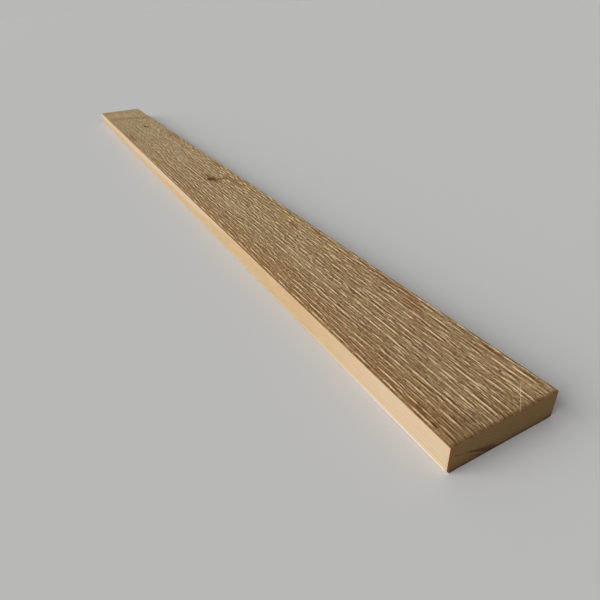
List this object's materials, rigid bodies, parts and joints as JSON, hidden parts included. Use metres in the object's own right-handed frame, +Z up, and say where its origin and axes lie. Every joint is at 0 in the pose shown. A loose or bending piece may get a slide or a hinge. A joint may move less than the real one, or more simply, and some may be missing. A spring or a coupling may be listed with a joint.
{
  "type": "timber lumber plank",
  "caption": "Straight softwood board of rectangular section, planed on the back and both long edges, with a ridged machine-textured upper face and square-cut ends.",
  "frame": {"origin": "middle of the underside, the planed face that the board rests on", "axes": "+X along the length towards the end with the chipped lower corner, +Y across the width, +Z up out of the textured face"},
  "size_m": [1, 0.073, 0.019],
  "materials": {
    "softwood": "bare dry softwood, planed smooth on the back and edges, ridged on the upper face, unfinished"
  },
  "bodies": {
    "root": {"plank": "softwood"}
  },
  "joints": []
}
